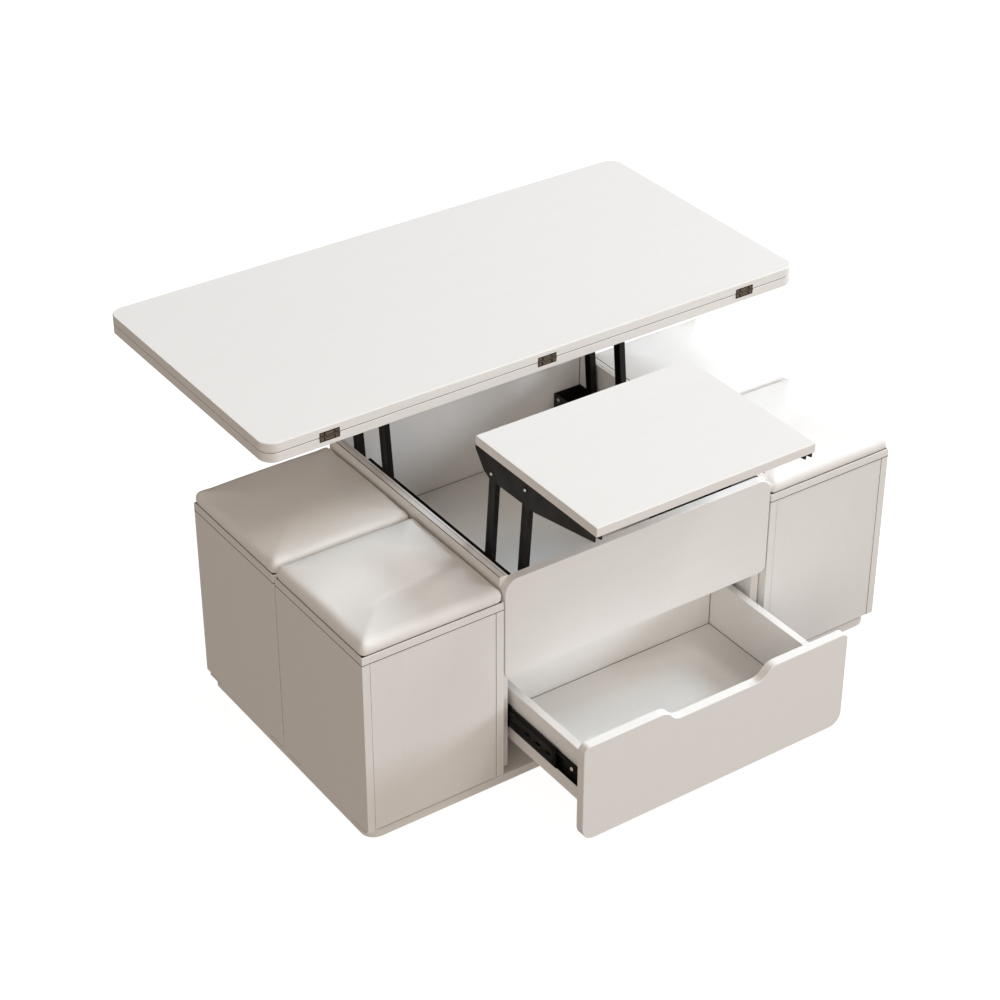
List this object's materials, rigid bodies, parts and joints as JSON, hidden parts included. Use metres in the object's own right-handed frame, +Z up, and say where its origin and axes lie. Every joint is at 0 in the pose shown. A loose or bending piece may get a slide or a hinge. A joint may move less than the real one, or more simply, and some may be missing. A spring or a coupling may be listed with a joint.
{
  "type": "adjustable coffee table",
  "caption": "Lift-top coffee table with a fold-out main top, a smaller lifting top, a drawer and cushioned stools that tuck in at both ends.",
  "frame": {"origin": "centre of the base slab's underside, on the floor", "axes": "+X along the table to the right seen from the drawer side, -Y towards the drawer side, +Z up"},
  "size_m": [1.202, 1.1415, 0.685],
  "materials": {
    "top_board": "white melamine-faced board with a faint printed wood grain, satin",
    "white_board": "white melamine-faced board with matching edge band, satin",
    "drawer_board": "white melamine-faced board, satin",
    "cushion_cover": "white soft artificial leather over foam, fine grain and light creases",
    "lift_steel": "black powder coat, satin",
    "pin_steel": "zinc-plated steel",
    "slide_steel": "black coated steel, satin",
    "hinge_bronze": "bronze-plated zinc, satin",
    "stool_glides": "dark moulded plastic",
    "spacer_plastic": "dark moulded plastic"
  },
  "bodies": {
    "root": {"base_slab": "white_board", "cabinet_spacers": "spacer_plastic", "side_panel_left": "white_board", "side_panel_right": "white_board", "back_panel": "white_board", "interior_floor": "white_board", "upper_front_panel": "white_board", "mechanism_housing_left": "lift_steel", "mechanism_housing_right": "lift_steel", "base_pivot_pins": "pin_steel", "slide_cabinet_members": "slide_steel"},
    "main_rear_arms": {"main_rear_arm_left": "lift_steel", "main_rear_arm_right": "lift_steel"},
    "main_front_arms": {"main_front_arm_left": "lift_steel", "main_front_arm_right": "lift_steel"},
    "main_top": {"main_lower_leaf": "top_board", "main_top_bracket_left": "lift_steel", "main_top_bracket_right": "lift_steel", "main_top_pins": "pin_steel", "leaf_hinge_lower_halves": "hinge_bronze"},
    "upper_leaf": {"main_upper_leaf": "top_board", "leaf_hinge_upper_halves": "hinge_bronze"},
    "small_rear_arms": {"small_rear_arm_left": "lift_steel", "small_rear_arm_right": "lift_steel"},
    "small_front_arms": {"small_front_arm_left": "lift_steel", "small_front_arm_right": "lift_steel"},
    "small_top": {"small_top_board": "top_board", "small_top_bracket_left": "lift_steel", "small_top_bracket_right": "lift_steel", "small_top_pins": "pin_steel"},
    "drawer": {"drawer_front": "white_board", "drawer_side_left": "drawer_board", "drawer_side_right": "drawer_board", "drawer_back": "drawer_board", "drawer_bottom": "drawer_board", "slide_drawer_members": "slide_steel"},
    "slide_middle": {"slide_middle_members": "slide_steel"},
    "stool_front_left": {"stool_front_left_side_boards": "white_board", "stool_front_left_face_panels": "white_board", "stool_front_left_top_board": "white_board", "stool_front_left_cushion": "cushion_cover", "stool_front_left_glides": "stool_glides"},
    "stool_front_right": {"stool_front_right_side_boards": "white_board", "stool_front_right_face_panels": "white_board", "stool_front_right_top_board": "white_board", "stool_front_right_cushion": "cushion_cover", "stool_front_right_glides": "stool_glides"},
    "stool_rear_left": {"stool_rear_left_side_boards": "white_board", "stool_rear_left_face_panels": "white_board", "stool_rear_left_top_board": "white_board", "stool_rear_left_cushion": "cushion_cover", "stool_rear_left_glides": "stool_glides"},
    "stool_rear_right": {"stool_rear_right_side_boards": "white_board", "stool_rear_right_face_panels": "white_board", "stool_rear_right_top_board": "white_board", "stool_rear_right_cushion": "cushion_cover", "stool_rear_right_glides": "stool_glides"}
  },
  "joints": [
    {"name": "main_lift", "type": "hinge", "parent": "root", "child": "main_rear_arms", "pos_m": [0, 0.222, 0.33581], "axis": [1, 0, 0], "range_deg": [0, 75.2]},
    {"name": "main_lift_front", "type": "hinge", "parent": "root", "child": "main_front_arms", "pos_m": [0, 0.12, 0.33581], "axis": [1, 0, 0], "range_deg": [0, 75.2]},
    {"name": "main_top_level", "type": "hinge", "parent": "main_rear_arms", "child": "main_top", "pos_m": [0, 0.25252, 0.62621], "axis": [1, 0, 0], "range_deg": [-75.2, 0]},
    {"name": "small_lift", "type": "hinge", "parent": "root", "child": "small_rear_arms", "pos_m": [0, -0.1376, 0.29809], "axis": [1, 0, 0], "range_deg": [-75.2, 0]},
    {"name": "small_lift_front", "type": "hinge", "parent": "root", "child": "small_front_arms", "pos_m": [0, -0.2416, 0.31909], "axis": [1, 0, 0], "range_deg": [-75.2, 0]},
    {"name": "small_top_level", "type": "hinge", "parent": "small_rear_arms", "child": "small_top", "pos_m": [0, -0.16305, 0.58898], "axis": [1, 0, 0], "range_deg": [0, 75.2]},
    {"name": "leaf_hinge", "type": "hinge", "parent": "main_top", "child": "upper_leaf", "pos_m": [0, 0.00429, 0.66561], "axis": [1, 0, 0], "range_deg": [0, 180]},
    {"name": "drawer_slide", "type": "slide", "parent": "root", "child": "drawer", "axis": [0, -1, 0], "range_m": [-0.2405, 0.099]},
    {"name": "slide_middle_travel", "type": "slide", "parent": "root", "child": "slide_middle", "axis": [0, -1, 0], "range_m": [-0.1493, 0.0615]},
    {"name": "stool_front_left_out", "type": "slide", "parent": "root", "child": "stool_front_left", "axis": [-1, 0, 0], "range_m": [0, 0.32]},
    {"name": "stool_front_right_out", "type": "slide", "parent": "root", "child": "stool_front_right", "axis": [1, 0, 0], "range_m": [0, 0.32]},
    {"name": "stool_rear_left_out", "type": "slide", "parent": "root", "child": "stool_rear_left", "axis": [-1, 0, 0], "range_m": [0, 0.32]},
    {"name": "stool_rear_right_out", "type": "slide", "parent": "root", "child": "stool_rear_right", "axis": [1, 0, 0], "range_m": [0, 0.32]}
  ],
  "couplings": [
    {"joint": "main_lift_front", "follows": "main_lift", "ratio": 1},
    {"joint": "main_top_level", "follows": "main_lift", "ratio": -1},
    {"joint": "small_lift", "follows": "main_lift", "ratio": -1},
    {"joint": "small_lift_front", "follows": "main_lift", "ratio": -1},
    {"joint": "small_top_level", "follows": "main_lift", "ratio": 1},
    {"joint": "slide_middle_travel", "follows": "drawer_slide", "ratio": 0.62}
  ]
}
